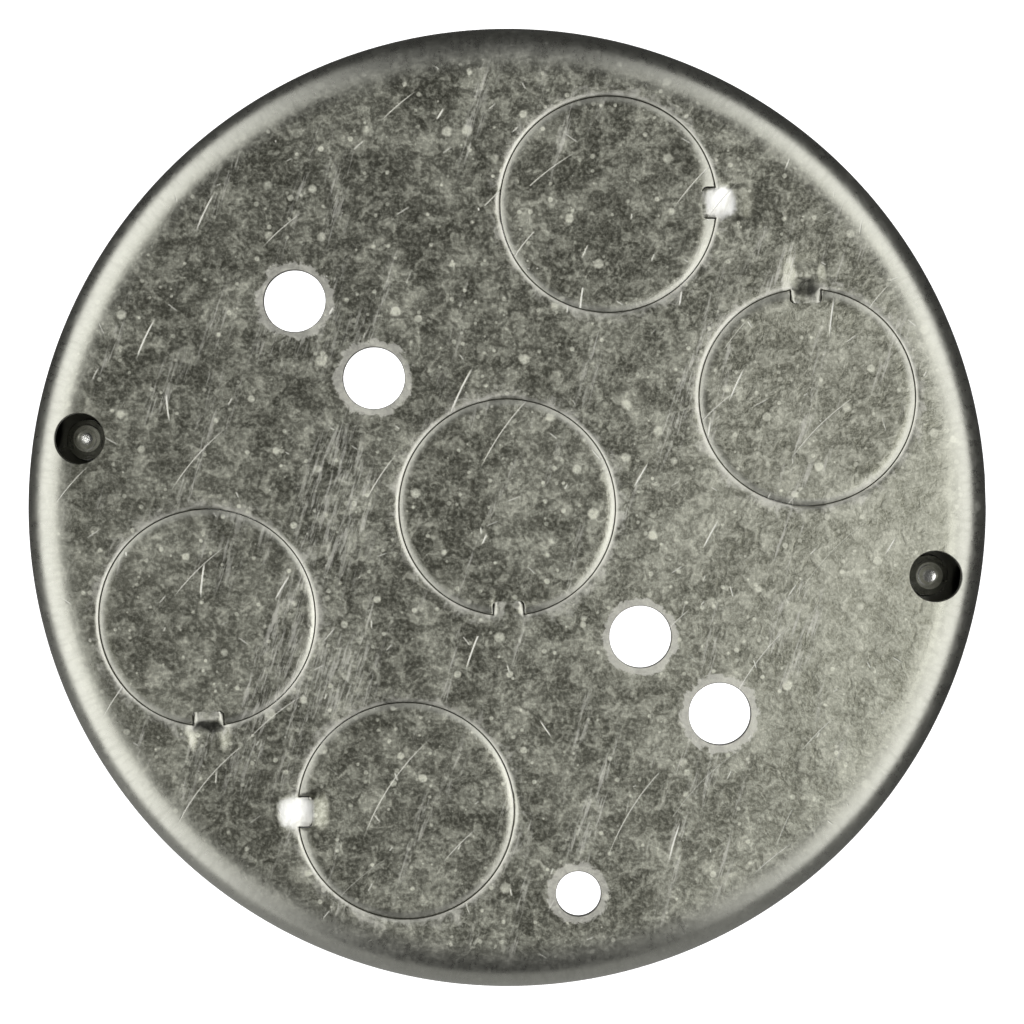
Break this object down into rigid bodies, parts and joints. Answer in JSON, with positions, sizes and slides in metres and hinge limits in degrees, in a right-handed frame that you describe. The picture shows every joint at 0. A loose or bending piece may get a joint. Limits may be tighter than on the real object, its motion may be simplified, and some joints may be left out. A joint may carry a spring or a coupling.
{
  "type": "electrical junction box",
  "caption": "Shallow round steel ceiling box: a drawn pan with pry-out knockouts, mounting holes and fixture screws in ears at its rim.",
  "frame": {"origin": "centre of the back's outer face, the face that goes against the ceiling", "axes": "+Z is the back's outward normal, up as installed, so the mouth opens downwards; the knockouts' line of symmetry runs at 45 degrees between +X and +Y, and the fixture screws lie on the line at -10 and 170 degrees"},
  "size_m": [0.099, 0.099, 0.0194],
  "materials": {
    "pan": "galvanized, mottled dull grey with rubbed bright spots and scratches",
    "knockout": "galvanized, as the pan",
    "screw": "zinc-plated, semi-bright"
  },
  "bodies": {
    "pan": {"pan": "pan"},
    "knockout_centre": {"knockout_centre": "knockout"},
    "knockout_top": {"knockout_top": "knockout"},
    "knockout_right": {"knockout_right": "knockout"},
    "knockout_left": {"knockout_left": "knockout"},
    "knockout_bottom": {"knockout_bottom": "knockout"},
    "fixture_screw_left": {"fixture_screw_left": "screw"},
    "fixture_screw_right": {"fixture_screw_right": "screw"}
  },
  "joints": [
    {"name": "knockout_centre_pry", "type": "hinge", "parent": "pan", "child": "knockout_centre", "pos_m": [0, -0.00965, -0.0016], "axis": [-1, 0, 0], "range_deg": [0, 70]},
    {"name": "knockout_top_pry", "type": "hinge", "parent": "pan", "child": "knockout_top", "pos_m": [0.02049, 0.03096, -0.0016], "axis": [0, -1, 0], "range_deg": [0, 70]},
    {"name": "knockout_right_pry", "type": "hinge", "parent": "pan", "child": "knockout_right", "pos_m": [0.03096, 0.02049, -0.0016], "axis": [1, 0, 0], "range_deg": [0, 70]},
    {"name": "knockout_left_pry", "type": "hinge", "parent": "pan", "child": "knockout_left", "pos_m": [-0.03096, -0.02049, -0.0016], "axis": [-1, 0, 0], "range_deg": [0, 70]},
    {"name": "knockout_bottom_pry", "type": "hinge", "parent": "pan", "child": "knockout_bottom", "pos_m": [-0.02049, -0.03096, -0.0016], "axis": [0, 1, 0], "range_deg": [0, 70]},
    {"name": "fixture_screw_left_travel", "type": "slide", "parent": "pan", "child": "fixture_screw_left", "axis": [0, 0, 1], "range_m": [-0.0054, 0.0041]},
    {"name": "fixture_screw_right_travel", "type": "slide", "parent": "pan", "child": "fixture_screw_right", "axis": [0, 0, 1], "range_m": [-0.0054, 0.0041]}
  ]
}
